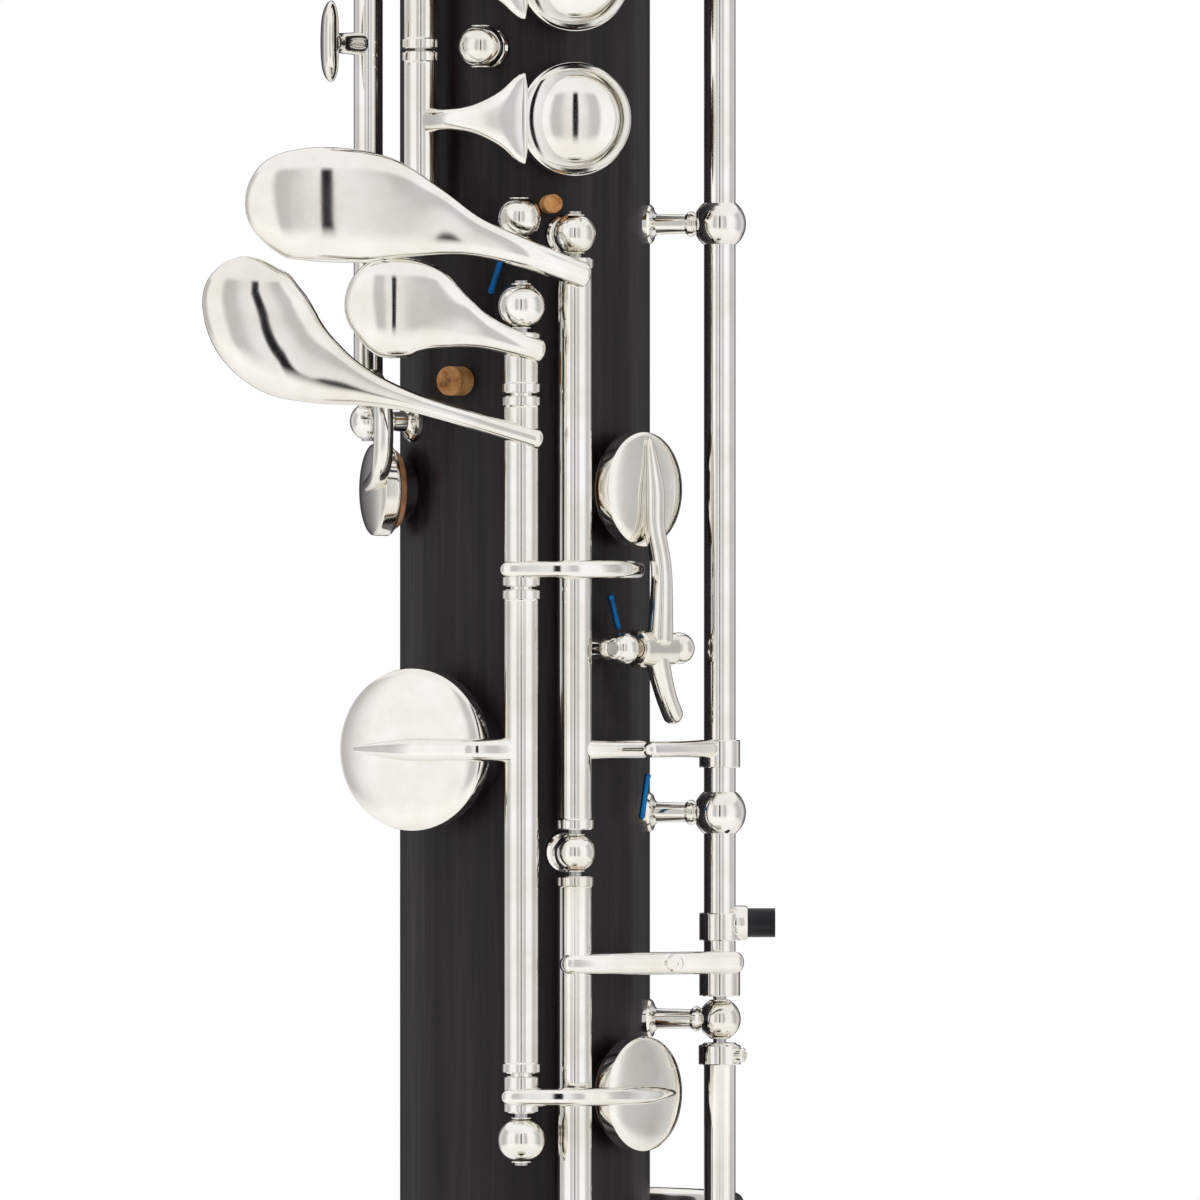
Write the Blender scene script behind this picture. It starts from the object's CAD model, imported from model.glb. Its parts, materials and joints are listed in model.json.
"""Looks of a bass clarinet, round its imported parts: finishes, keywork, pads, posts, studio and camera."""

import json
import logging
import math
from dataclasses import dataclass, field
from enum import Enum
from typing import Any, Iterable, Sequence

import bmesh
import bpy
from mathutils import Matrix, Vector

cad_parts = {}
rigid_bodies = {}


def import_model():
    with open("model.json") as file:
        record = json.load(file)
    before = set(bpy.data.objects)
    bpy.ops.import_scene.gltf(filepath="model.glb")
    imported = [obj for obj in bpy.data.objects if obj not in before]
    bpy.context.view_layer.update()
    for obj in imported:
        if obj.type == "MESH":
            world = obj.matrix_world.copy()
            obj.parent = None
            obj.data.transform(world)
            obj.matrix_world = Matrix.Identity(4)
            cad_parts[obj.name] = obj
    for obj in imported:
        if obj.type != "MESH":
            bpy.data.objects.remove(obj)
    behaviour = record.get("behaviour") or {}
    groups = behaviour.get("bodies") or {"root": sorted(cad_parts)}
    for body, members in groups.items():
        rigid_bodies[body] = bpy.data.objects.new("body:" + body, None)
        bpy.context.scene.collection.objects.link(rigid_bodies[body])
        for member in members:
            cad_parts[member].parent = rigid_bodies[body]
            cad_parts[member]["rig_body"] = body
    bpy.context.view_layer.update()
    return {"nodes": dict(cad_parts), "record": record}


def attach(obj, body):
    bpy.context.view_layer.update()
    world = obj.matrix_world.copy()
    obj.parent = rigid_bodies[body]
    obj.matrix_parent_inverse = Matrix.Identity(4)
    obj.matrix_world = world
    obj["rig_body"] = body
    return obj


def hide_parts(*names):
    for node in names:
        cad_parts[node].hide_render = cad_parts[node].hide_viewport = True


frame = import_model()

# One millimetre in metres.
MM = 0.001
FRONT = Vector((0, -1, 0))
log = logging.getLogger("bass_clarinet")


# ---------- colours and nodes ----------


def linear(hex_colour: str) -> tuple[float, float, float, float]:
    """Turns an sRGB hex colour to linear RGBA.

    Args:
        hex_colour: Colour such as "#A0B0C0".

    Returns:
        Red, green, blue and alpha, linear.
    """
    channels = [int(hex_colour[i : i + 2], 16) / 255 for i in (1, 3, 5)]
    values = [c / 12.92 if c <= 0.04045 else ((c + 0.055) / 1.055) ** 2.4 for c in channels]
    return (values[0], values[1], values[2], 1.0)


def grey(value: float) -> tuple[float, float, float, float]:
    """Gives a linear grey."""
    return (value, value, value, 1.0)


def add_node(tree: bpy.types.NodeTree, kind: str, settings: dict[Any, Any] | None = None,
             links: dict[Any, tuple[bpy.types.Node, Any]] | None = None) -> bpy.types.Node:
    """Adds one node with its settings and links.

    Args:
        tree: Node tree that gets the node.
        kind: Node type name without its "ShaderNode" prefix.
        settings: Values by attribute name, or by input name or number.
        links: For each input name or number, the node and output that feed it.

    Returns:
        The new node.
    """
    node = tree.nodes.new("ShaderNode" + kind)
    for key, value in (settings or {}).items():
        if isinstance(key, str) and hasattr(node, key):
            setattr(node, key, value)
        else:
            node.inputs[key].default_value = value
    for key, (source, output) in (links or {}).items():
        tree.links.new(source.outputs[output], node.inputs[key])
    return node


def per_metre(size_mm: float) -> float:
    """Gives the texture scale whose pattern repeats every size_mm."""
    return 1000.0 / size_mm


def ramp(tree: bpy.types.NodeTree, source: bpy.types.Node, output: str,
         stops: Sequence[tuple[float, tuple[float, ...]]]) -> bpy.types.Node:
    """Adds a colour ramp with its stops.

    Args:
        tree: Node tree that gets the ramp.
        source: Node that drives it.
        output: Output of the source.
        stops: Position and linear colour of each stop, in order.

    Returns:
        The ramp node.
    """
    node = add_node(tree, "ValToRGB", links={"Fac": (source, output)})
    elements = node.color_ramp.elements
    while len(elements) < len(stops):
        elements.new(0.5)
    for element, (position, colour) in zip(elements, stops):
        element.position = position
        element.color = colour
    return node


# ---------- finishes ----------


@dataclass(frozen=True)
class Finish:
    """A surface finish: what the real material is and how its surface was made."""

    name: str
    colour: str
    roughness: float

    def material(self) -> bpy.types.Material:
        """Gives the finish's material, made once.

        Returns:
            The material, with its nodes.
        """
        made = bpy.data.materials.get(self.name)
        if made:
            return made
        made = bpy.data.materials.new(self.name)
        made.use_nodes = True
        tree = made.node_tree
        tree.nodes.clear()
        surface = add_node(tree, "BsdfPrincipled",
                           {"Base Color": linear(self.colour), "Roughness": self.roughness})
        add_node(tree, "OutputMaterial", links={"Surface": (surface, "BSDF")})
        place = add_node(tree, "TexCoord")
        self.pattern(tree, surface, place)
        return made

    def pattern(self, tree: bpy.types.NodeTree, surface: bpy.types.Node, place: bpy.types.Node) -> None:
        """Adds the finish's own pattern.

        Args:
            tree: The material's node tree.
            surface: Its Principled shader.
            place: Its texture coordinates, whose Object output is in metres.
        """

    def stretched(self, tree: bpy.types.NodeTree, place: bpy.types.Node,
                  scale: tuple[float, float, float]) -> bpy.types.Node:
        """Adds a mapping that stretches the pattern.

        Args:
            tree: The material's node tree.
            place: Its texture coordinates.
            scale: Scale along each axis; under 1 stretches.

        Returns:
            The mapping node.
        """
        return add_node(tree, "Mapping", {"Scale": scale}, {"Vector": (place, "Object")})

    def relief(self, tree: bpy.types.NodeTree, surface: bpy.types.Node, height: bpy.types.Node,
               output: Any, depth_mm: float, strength: float) -> None:
        """Adds fine relief to the surface.

        Args:
            tree: The material's node tree.
            surface: Its Principled shader.
            height: Node that gives the height.
            output: Output of that node.
            depth_mm: Real depth of the relief.
            strength: Share of that depth that shows.
        """
        bump = add_node(tree, "Bump", {"Distance": depth_mm * MM, "Strength": strength},
                        {"Height": (height, output)})
        tree.links.new(bump.outputs["Normal"], surface.inputs["Normal"])


@dataclass(frozen=True)
class PlatedMetal(Finish):
    """Silver plate over nickel silver or brass, polished on a buffing wheel."""

    smear: float = 0.05
    wave_mm: float = 5.0

    def pattern(self, tree: bpy.types.NodeTree, surface: bpy.types.Node, place: bpy.types.Node) -> None:
        """Adds buffing haze, faint tarnish and the slight waviness that polishing leaves.

        Args:
            tree: The material's node tree.
            surface: Its Principled shader.
            place: Its texture coordinates, whose Object output is in metres.
        """
        surface.inputs["Metallic"].default_value = 1.0
        # Handling haze 9 mm across, which makes the gloss uneven as on a played instrument.
        haze = add_node(tree, "TexNoise", {"Scale": per_metre(9), "Detail": 4.0, "Roughness": 0.6},
                        {"Vector": (place, "Object")})
        gloss = add_node(tree, "MapRange", {"From Min": 0.3, "From Max": 0.7, "To Min": self.roughness,
                                            "To Max": self.roughness + self.smear},
                         {"Value": (haze, "Fac")})
        tree.links.new(gloss.outputs["Result"], surface.inputs["Roughness"])
        # A trace of warm tarnish where the haze is thickest.
        warm = ramp(tree, haze, "Fac", [(0.35, linear(self.colour)), (0.8, linear("#E6DFD3"))])
        tree.links.new(warm.outputs["Color"], surface.inputs["Base Color"])
        # Waves a few millimetres long that the buffing wheel leaves, which bend the reflections.
        wave = add_node(tree, "TexNoise", {"Scale": per_metre(self.wave_mm), "Detail": 1.0},
                        {"Vector": (place, "Object")})
        self.relief(tree, surface, wave, "Fac", 0.05, 0.12)


@dataclass(frozen=True)
class TurnedWood(Finish):
    """Grenadilla, turned, oiled and polished."""

    dark: str = "#0F0C0C"
    grain_mm: float = 0.9
    oil_gloss: float = 0.32

    def pattern(self, tree: bpy.types.NodeTree, surface: bpy.types.Node, place: bpy.types.Node) -> None:
        """Adds long dark grain and open pores that run up the joint, in an oiled sheen.

        Args:
            tree: The material's node tree.
            surface: Its Principled shader.
            place: Its texture coordinates, whose Object output is in metres.
        """
        # The grain runs some thirty times as far up the joint as across it.
        along = self.stretched(tree, place, (1.0, 1.0, 0.035))
        grain = add_node(tree, "TexNoise", {"Scale": per_metre(self.grain_mm * 2), "Detail": 7.0,
                                            "Roughness": 0.62, "Distortion": 0.4},
                         {"Vector": (along, "Vector")})
        shade = ramp(tree, grain, "Fac", [(0.32, linear(self.dark)), (0.52, linear(self.colour)),
                                          (0.72, linear("#2B211F"))])
        # Broad colour figure 14 mm across, as heartwood has.
        figure = add_node(tree, "TexNoise", {"Scale": per_metre(14), "Detail": 2.0},
                          {"Vector": (along, "Vector")})
        tint = add_node(tree, "Mix", {"data_type": "RGBA", "blend_type": "MULTIPLY", 7: linear("#D8CFCC")},
                        {0: (figure, "Fac"), 6: (shade, "Color")})
        tree.links.new(tint.outputs[2], surface.inputs["Base Color"])
        # Open pores, some 0.2 mm wide, drawn 0.7 mm wide so that they show.
        pores = add_node(tree, "TexNoise", {"Scale": per_metre(0.7), "Detail": 3.0, "Roughness": 0.7},
                         {"Vector": (along, "Vector")})
        sheen = add_node(tree, "MapRange", {"From Min": 0.3, "From Max": 0.7, "To Min": self.roughness - 0.05,
                                            "To Max": self.roughness + 0.12}, {"Value": (pores, "Fac")})
        tree.links.new(sheen.outputs["Result"], surface.inputs["Roughness"])
        # Oil sinks in and leaves less of a skin than varnish, so the wood mirrors less.
        surface.inputs["Specular IOR Level"].default_value = self.oil_gloss
        self.relief(tree, surface, pores, "Fac", 0.08, 0.35)


@dataclass(frozen=True)
class Cork(Finish):
    """Natural cork sheet, glued and sanded."""

    def pattern(self, tree: bpy.types.NodeTree, surface: bpy.types.Node, place: bpy.types.Node) -> None:
        """Adds cork's cells and dark lenticels, in a dry matt surface.

        Args:
            tree: The material's node tree.
            surface: Its Principled shader.
            place: Its texture coordinates, whose Object output is in metres.
        """
        # Cork's cells are far under 0.1 mm, so they are drawn as crumbs of 1.1 mm that show.
        cells = add_node(tree, "TexVoronoi", {"Scale": per_metre(1.1)}, {"Vector": (place, "Object")})
        specks = add_node(tree, "TexNoise", {"Scale": per_metre(2.2), "Detail": 6.0, "Roughness": 0.7},
                          {"Vector": (place, "Object")})
        shade = ramp(tree, specks, "Fac", [(0.3, linear("#5E3F22")), (0.45, linear(self.colour)),
                                           (0.7, linear("#C99C68"))])
        tree.links.new(shade.outputs["Color"], surface.inputs["Base Color"])
        self.relief(tree, surface, cells, "Distance", 0.2, 0.5)


@dataclass(frozen=True)
class PadLeather(Finish):
    """Thin kid leather, stretched over a felt pad."""

    def pattern(self, tree: bpy.types.NodeTree, surface: bpy.types.Node, place: bpy.types.Node) -> None:
        """Adds fine leather grain, soft creases and a warm uneven dye.

        Args:
            tree: The material's node tree.
            surface: Its Principled shader.
            place: Its texture coordinates, whose Object output is in metres.
        """
        # Kid's grain is about 0.3 mm, drawn 0.5 mm so that it shows.
        grain = add_node(tree, "TexVoronoi", {"Scale": per_metre(0.5), "feature": "SMOOTH_F1"},
                         {"Vector": (place, "Object")})
        cloud = add_node(tree, "TexNoise", {"Scale": per_metre(4), "Detail": 5.0, "Roughness": 0.6},
                         {"Vector": (place, "Object")})
        shade = ramp(tree, cloud, "Fac", [(0.3, linear("#8F5A34")), (0.5, linear(self.colour)),
                                          (0.72, linear("#D7A983"))])
        tree.links.new(shade.outputs["Color"], surface.inputs["Base Color"])
        surface.inputs["Sheen Weight"].default_value = 0.2
        self.relief(tree, surface, grain, "Distance", 0.1, 0.4)


@dataclass(frozen=True)
class Cane(Finish):
    """Reed cane, cut and scraped."""

    def pattern(self, tree: bpy.types.NodeTree, surface: bpy.types.Node, place: bpy.types.Node) -> None:
        """Adds long straw-coloured fibres with darker strands.

        Args:
            tree: The material's node tree.
            surface: Its Principled shader.
            place: Its texture coordinates, whose Object output is in metres.
        """
        # Fibre bundles 0.3 mm wide, drawn 0.6 mm wide so that they show.
        along = self.stretched(tree, place, (1.0, 0.06, 0.12))
        fibre = add_node(tree, "TexNoise", {"Scale": per_metre(0.6), "Detail": 5.0, "Roughness": 0.65},
                         {"Vector": (along, "Vector")})
        shade = ramp(tree, fibre, "Fac", [(0.3, linear("#B58E4C")), (0.55, linear(self.colour)),
                                          (0.75, linear("#EFE0B6"))])
        tree.links.new(shade.outputs["Color"], surface.inputs["Base Color"])
        self.relief(tree, surface, fibre, "Fac", 0.05, 0.4)


@dataclass(frozen=True)
class Ebonite(Finish):
    """Hard rubber, moulded, faced and polished."""

    def pattern(self, tree: bpy.types.NodeTree, surface: bpy.types.Node, place: bpy.types.Node) -> None:
        """Adds faint handling marks and a slightly uneven deep black gloss.

        Args:
            tree: The material's node tree.
            surface: Its Principled shader.
            place: Its texture coordinates, whose Object output is in metres.
        """
        # Handling marks 3 mm across in the polish.
        marks = add_node(tree, "TexNoise", {"Scale": per_metre(3), "Detail": 4.0},
                         {"Vector": (place, "Object")})
        gloss = add_node(tree, "MapRange", {"To Min": self.roughness - 0.06, "To Max": self.roughness + 0.12},
                         {"Value": (marks, "Fac")})
        tree.links.new(gloss.outputs["Result"], surface.inputs["Roughness"])
        shade = ramp(tree, marks, "Fac", [(0.4, linear(self.colour)), (0.8, linear("#1C1A19"))])
        tree.links.new(shade.outputs["Color"], surface.inputs["Base Color"])
        self.relief(tree, surface, marks, "Fac", 0.03, 0.2)


@dataclass(frozen=True)
class BareSteel(Finish):
    """Steel rod or screw stock, ground, and blued or blackened where the colour says so."""

    line_mm: float = 0.35
    temper: str = "#FFFFFF"

    def pattern(self, tree: bpy.types.NodeTree, surface: bpy.types.Node, place: bpy.types.Node) -> None:
        """Adds the grinding lines round the stock and the drift of its temper colour.

        Args:
            tree: The material's node tree.
            surface: Its Principled shader.
            place: Its texture coordinates, whose Object output is in metres.
        """
        surface.inputs["Metallic"].default_value = 1.0
        # Grinding lines are near 0.05 mm apart, drawn at line_mm so that they show.
        across = self.stretched(tree, place, (0.2, 0.2, 1.0))
        lines = add_node(tree, "TexNoise", {"Scale": per_metre(self.line_mm), "Detail": 3.0},
                         {"Vector": (across, "Vector")})
        drift = add_node(tree, "TexNoise", {"Scale": per_metre(6), "Detail": 2.0},
                         {"Vector": (place, "Object")})
        shade = ramp(tree, drift, "Fac", [(0.35, linear(self.colour)), (0.75, linear(self.temper))])
        tree.links.new(shade.outputs["Color"], surface.inputs["Base Color"])
        gloss = add_node(tree, "MapRange", {"To Min": self.roughness - 0.05, "To Max": self.roughness + 0.1},
                         {"Value": (lines, "Fac")})
        tree.links.new(gloss.outputs["Result"], surface.inputs["Roughness"])
        self.relief(tree, surface, lines, "Fac", 0.02, 0.25)


@dataclass(frozen=True)
class MouldedRubber(Finish):
    """Natural rubber, moulded and scuffed on floors."""

    def pattern(self, tree: bpy.types.NodeTree, surface: bpy.types.Node, place: bpy.types.Node) -> None:
        """Adds dusty scuffs and a dry, slightly pitted surface.

        Args:
            tree: The material's node tree.
            surface: Its Principled shader.
            place: Its texture coordinates, whose Object output is in metres.
        """
        # Scuffs about 5 mm across, from the floors it has stood on.
        scuff = add_node(tree, "TexNoise", {"Scale": per_metre(5), "Detail": 6.0, "Roughness": 0.7},
                         {"Vector": (place, "Object")})
        shade = ramp(tree, scuff, "Fac", [(0.45, linear(self.colour)), (0.8, linear("#3B3937"))])
        tree.links.new(shade.outputs["Color"], surface.inputs["Base Color"])
        self.relief(tree, surface, scuff, "Fac", 0.15, 0.4)


@dataclass(frozen=True)
class FloorPaper(Finish):
    """Seamless studio paper, which fades into the studio at its rim."""

    fade_from: float = 0.9
    fade_to: float = 2.4

    def pattern(self, tree: bpy.types.NodeTree, surface: bpy.types.Node, place: bpy.types.Node) -> None:
        """Adds faint paper tooth and lets the rim fade out.

        Args:
            tree: The material's node tree.
            surface: Its Principled shader.
            place: Its texture coordinates, whose Object output is in metres.
        """
        # Paper tooth, drawn 2 mm across so that it shows.
        tooth = add_node(tree, "TexNoise", {"Scale": per_metre(2), "Detail": 3.0},
                         {"Vector": (place, "Object")})
        self.relief(tree, surface, tooth, "Fac", 0.05, 0.2)
        reach = add_node(tree, "VectorMath", {"operation": "LENGTH"}, {0: (place, "Object")})
        rim = add_node(tree, "MapRange", {"From Min": self.fade_from, "From Max": self.fade_to,
                                          "interpolation_type": "SMOOTHSTEP"}, {"Value": (reach, "Value")})
        clear = add_node(tree, "BsdfTransparent")
        shown = add_node(tree, "MixShader", links={0: (rim, "Result"), 1: (surface, "BSDF"),
                                                   2: (clear, "BSDF")})
        output = next(n for n in tree.nodes if n.type == "OUTPUT_MATERIAL")
        tree.links.new(shown.outputs["Shader"], output.inputs["Surface"])


class Finishes(Enum):
    """The finishes of the instrument, by where they are used."""

    # Near black with brown in the grain, and a soft streak of light down its round side.
    GRENADILLA = TurnedWood("grenadilla_turned_and_oiled", "#171212", 0.36, "#080606")
    # A bright mirror that bends a little, so the keys show clear dark and light bands.
    KEY_PLATE = PlatedMetal("nickel_silver_silver_plated_and_buffed", "#F6F4F0", 0.05)
    # The same silver over wide drawn walls, a shade softer and with longer waves.
    PLATED_METAL = PlatedMetal("brass_silver_plated_and_polished", "#F3F1EC", 0.08, 0.06, 9.0)
    # A deep black with a clear but slightly handled gloss.
    EBONITE = Ebonite("ebonite_moulded_and_polished", "#0B0A0A", 0.2)
    # Pale straw with long fibres and no gloss where it is scraped.
    CANE = Cane("cane_cut_and_scraped", "#DCC48A", 0.55)
    # Warm brown crumbs, dry and matt.
    CORK = Cork("natural_cork_glued_and_sanded", "#A8743F", 0.85)
    # Neutral grey with a fine line across it, which breaks its highlight up.
    STEEL = BareSteel("steel_rod_ground", "#C9C8C6", 0.2, temper="#B4B2AF")
    # Dark grey screw heads with a dull glint.
    DARK_STEEL = BareSteel("steel_screw_blackened", "#3A3A3C", 0.34, temper="#26262A")
    # The strong blue of tempered spring wire.
    BLUED_STEEL = BareSteel("spring_steel_blued", "#1F76B8", 0.24, temper="#164C8E")
    # Dull black with greyer scuffs.
    RUBBER = MouldedRubber("natural_rubber_moulded", "#141313", 0.8)
    # Tan with a soft even grain and a faint bloom at the edge.
    LEATHER = PadLeather("kid_leather_stretched_over_felt", "#B97F52", 0.5)
    # Plain off-white with no gloss.
    PAPER = FloorPaper("seamless_paper_unrolled", "#F2F1EF", 0.85)


SLOT_FINISHES = {
    "grenadilla": Finishes.GRENADILLA,
    "key_plate": Finishes.KEY_PLATE,
    "plated_metal": Finishes.PLATED_METAL,
    "ebonite": Finishes.EBONITE,
    "cane": Finishes.CANE,
    "cork": Finishes.CORK,
    "steel": Finishes.STEEL,
    "dark_steel": Finishes.DARK_STEEL,
    "blued_steel": Finishes.BLUED_STEEL,
    "rubber": Finishes.RUBBER,
    "leather": Finishes.LEATHER,
}


# ---------- mesh making ----------

# Half the stretch of a curve that its direction is taken over, in millimetres.
STEP_MM = 0.05
# Share of its full size under which a rounded end closes to a point.
TIP_SHARE = 0.02


def catmull(points: Sequence[Sequence[float]], t: float) -> list[float]:
    """Gives a point of the smooth curve through a list of points.

    Args:
        points: Points of any one length.
        t: Place on the curve, from 0 to the number of points less 1.

    Returns:
        The values at that place.
    """
    last = len(points) - 1
    i = min(int(t), last - 1)
    u = t - i
    a, b = points[max(i - 1, 0)], points[i]
    c, d = points[i + 1], points[min(i + 2, last)]
    return [0.5 * (2 * q + (r - p) * u + (2 * p - 5 * q + 4 * r - s) * u * u
                   + (3 * q - p - 3 * r + s) * u ** 3) for p, q, r, s in zip(a, b, c, d)]


def walk(samples: Sequence[Sequence[float]], marks: Sequence[float], distance: float) -> list[float]:
    """Gives the values at a distance along a sampled curve.

    Args:
        samples: Values of each sample.
        marks: Distance of each sample along the curve.
        distance: Where the values are wanted.

    Returns:
        The values there, straight between the two samples round it.
    """
    k = max(i for i in range(len(marks)) if marks[i] <= distance + 1e-9)
    k = min(k, len(marks) - 2)
    u = (distance - marks[k]) / max(marks[k + 1] - marks[k], 1e-9)
    return [p + (q - p) * u for p, q in zip(samples[k], samples[k + 1])]


def rounding(distance: float, total: float, start: float, end: float) -> float:
    """Gives a bar's size as a share of its full size where its ends round off.

    Args:
        distance: Distance along the bar.
        total: The bar's length.
        start: Length over which its start rounds off, or 0.
        end: Length over which its end rounds off, or 0.

    Returns:
        The share, from 0 at a tip to 1.
    """
    if end and total - distance < end:
        return math.sqrt(max(0.0, 1 - (1 - (total - distance) / end) ** 2))
    if start and distance < start:
        return math.sqrt(max(0.0, 1 - (1 - distance / start) ** 2))
    return 1.0


@dataclass
class Section:
    """One cross section along a swept bar or touch, in millimetres."""

    at: tuple[float, float, float]
    half_width: float
    front: float
    back: float


@dataclass
class Surface:
    """Vertices and faces of one piece, gathered in millimetres in the instrument's frame."""

    name: str
    verts: list[Vector] = field(default_factory=list)
    faces: list[tuple[int, ...]] = field(default_factory=list)

    def add_rings(self, rings: Sequence[Sequence[Vector]]) -> None:
        """Joins closed rings of points into a skin; a ring of one point is a tip.

        Args:
            rings: The rings in order.
        """
        starts = []
        for ring in rings:
            starts.append(len(self.verts))
            self.verts.extend(ring)
        for k in range(len(rings) - 1):
            a, b = starts[k], starts[k + 1]
            na, nb = len(rings[k]), len(rings[k + 1])
            for i in range(max(na, nb)):
                j = (i + 1) % max(na, nb)
                if na == 1:
                    self.faces.append((a, b + j, b + i))
                elif nb == 1:
                    self.faces.append((a + i, a + j, b))
                else:
                    self.faces.append((a + i, a + j, b + j, b + i))

    def lathe(self, profile: Sequence[tuple[float, float]], place: Matrix, sides: int = 64) -> None:
        """Turns a profile about the local z of a place.

        Args:
            profile: Radius and height of each point, in order.
            place: Where the turned shape stands.
            sides: Number of sides of each ring.
        """
        rings = []
        for radius, height in profile:
            if radius < 1e-5:
                rings.append([place @ Vector((0, 0, height))])
            else:
                rings.append([place @ Vector((radius * math.cos(math.tau * i / sides),
                                              radius * math.sin(math.tau * i / sides), height))
                              for i in range(sides)])
        self.add_rings(rings)

    def sweep(self, sections: Sequence[Section], outward: Vector | None = None, round_start: float = 0.0,
              round_end: float = 0.0, turned: Matrix | None = None, steps: int = 9, sides: int = 28,
              edge: float = 2.0) -> None:
        """Sweeps a smooth bar or touch through its sections.

        Args:
            sections: Sections in order; the skin is smooth through them.
            outward: Direction its front faces, or None for away from the body's axis.
            round_start: Length over which the start rounds off.
            round_end: Length over which the end rounds off.
            turned: Matrix that turns the finished skin.
            steps: Rings between two sections.
            sides: Points round each ring.
            edge: Power of the section's outline; 2 is an ellipse and more is squarer.
        """
        rows = [[*s.at, s.half_width, s.front, s.back] for s in sections]
        count = (len(rows) - 1) * steps
        samples = [catmull(rows, k / steps) for k in range(count + 1)]
        marks = [0.0]
        for a, b in zip(samples, samples[1:]):
            marks.append(marks[-1] + math.dist(a[:3], b[:3]))
        total = marks[-1]
        places = []
        if round_start:
            places += [round_start * (1 - math.cos(math.radians(a))) for a in range(0, 90, 10)]
        places += [m for m in marks if round_start <= m <= total - round_end]
        if round_end:
            places += [total - round_end * (1 - math.cos(math.radians(a))) for a in range(80, -1, -10)]
        rings = []
        for d in places:
            x, y, z, width, front, back = walk(samples, marks, d)
            here = Vector((x, y, z))
            ahead = walk(samples, marks, min(d + STEP_MM, total))
            behind = walk(samples, marks, max(d - STEP_MM, 0))
            along = (Vector(ahead[:3]) - Vector(behind[:3])).normalized()
            face = outward if outward is not None else Vector((x, y, 0)).normalized()
            face = (face - along * face.dot(along)).normalized()
            side = face.cross(along)
            share = rounding(d, total, round_start, round_end)
            if share < TIP_SHARE:
                rings.append([here])
                continue
            ring = []
            for i in range(sides):
                c, s = math.cos(math.tau * i / sides), math.sin(math.tau * i / sides)
                c = math.copysign(abs(c) ** (2 / edge), c)
                s = math.copysign(abs(s) ** (2 / edge), s)
                ring.append(here + side * width * share * c + face * (front if s > 0 else back) * share * s)
            rings.append(ring)
        if len(rings[0]) > 1:
            rings.insert(0, [sum(rings[0], Vector()) / sides])
        if len(rings[-1]) > 1:
            rings.append([sum(rings[-1], Vector()) / sides])
        if turned is not None:
            rings = [[turned @ v for v in ring] for ring in rings]
        self.add_rings(rings)

    def finish(self, stands_for: Iterable[str], slot: str, sharp_deg: float = 35.0) -> bpy.types.Object:
        """Makes the object, dresses it and puts it on the body of the node it stands for.

        Args:
            stands_for: CAD nodes that it replaces.
            slot: The record's material slot it takes its finish from.
            sharp_deg: Edges sharper than this stay crisp.

        Returns:
            The object.
        """
        nodes = list(stands_for)
        mesh = bpy.data.meshes.new(self.name)
        mesh.from_pydata([v * MM for v in self.verts], [], self.faces)
        mesh.validate()
        made = bpy.data.objects.new(self.name, mesh)
        bpy.context.scene.collection.objects.link(made)
        settle_normals(made, sharp_deg)
        made.data.materials.append(SLOT_FINISHES[slot].value.material())
        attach(made, frame["nodes"][nodes[0]]["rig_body"])
        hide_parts(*nodes)
        log.info("%s: %d faces", self.name, len(mesh.polygons))
        return made


def settle_normals(piece: bpy.types.Object, sharp_deg: float) -> None:
    """Points a piece's faces outward and shades it smooth with crisp edges.

    Args:
        piece: The piece to settle.
        sharp_deg: Edges sharper than this stay crisp.
    """
    work = bmesh.new()
    work.from_mesh(piece.data)
    bmesh.ops.recalc_face_normals(work, faces=work.faces)
    for each in work.faces:
        each.smooth = True
    for each in work.edges:
        if len(each.link_faces) == 2:
            each.smooth = each.calc_face_angle(0.0) < math.radians(sharp_deg)
    work.to_mesh(piece.data)
    work.free()


# ---------- the instrument's own geometry ----------


@dataclass(frozen=True)
class Body:
    """Sizes that every key shares, in millimetres."""

    radius: float = 19.0
    seat: float = 1.2
    pad_gap: float = 0.3
    pad_thick: float = 3.2
    pad_show: float = 1.2
    cup_wall: float = 0.8
    key_z: float = 560.0

    @property
    def pad_low(self) -> float:
        """Gives the pad face's distance from the axis."""
        return self.radius + self.seat + self.pad_gap

    @property
    def pad_high(self) -> float:
        """Gives the pad back's distance from the axis."""
        return self.pad_low + self.pad_thick

    def crown(self, radius: float) -> float:
        """Gives a cup crown's distance from the axis."""
        return self.pad_high + self.cup_wall + 0.09 * radius

    def over(self, cup: "CupSpec", side: float, height: float) -> Vector:
        """Gives a point over a cup by its distance sideways and its height above the axis."""
        return self.wall(cup.turn + math.degrees(math.atan2(side, height)), math.hypot(side, height), cup.z)

    def wall(self, turn: float, rho: float, z: float) -> Vector:
        """Gives a point by its turn from the front, distance from the axis and height."""
        a = math.radians(turn)
        return Vector((rho * math.sin(a), -rho * math.cos(a), z))

    def on_wall(self, turn: float, z: float) -> Matrix:
        """Gives the place whose local z points out of the body at a turn and height."""
        return (Matrix.Translation((0, 0, z)) @ Matrix.Rotation(math.radians(turn), 4, "Z")
                @ Matrix.Rotation(math.radians(90), 4, "X"))


BODY = Body()


class Hinge(Enum):
    """The hinge lines, as turn from the front and gap above the wood."""

    A = (-0.9, 7.5)
    B = (18.7, 4.75)
    C = (78.0, 11.2)
    L = (-63.0, 7.5)
    M = (-40.0, 5.2)
    U = (62.0, 8.0)

    def at(self, z: float) -> Vector:
        """Gives the hinge line's point at a height."""
        return BODY.wall(self.value[0], BODY.radius + self.value[1], z)

    def swung(self, angle: float) -> Matrix:
        """Gives the turn about this hinge line by an angle in degrees."""
        p = self.at(0)
        return Matrix.Translation(p) @ Matrix.Rotation(math.radians(angle), 4, "Z") @ Matrix.Translation(-p)


@dataclass(frozen=True)
class CupSpec:
    """A pad cup: turn from the front, height and radius."""

    turn: float
    z: float
    radius: float


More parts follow.
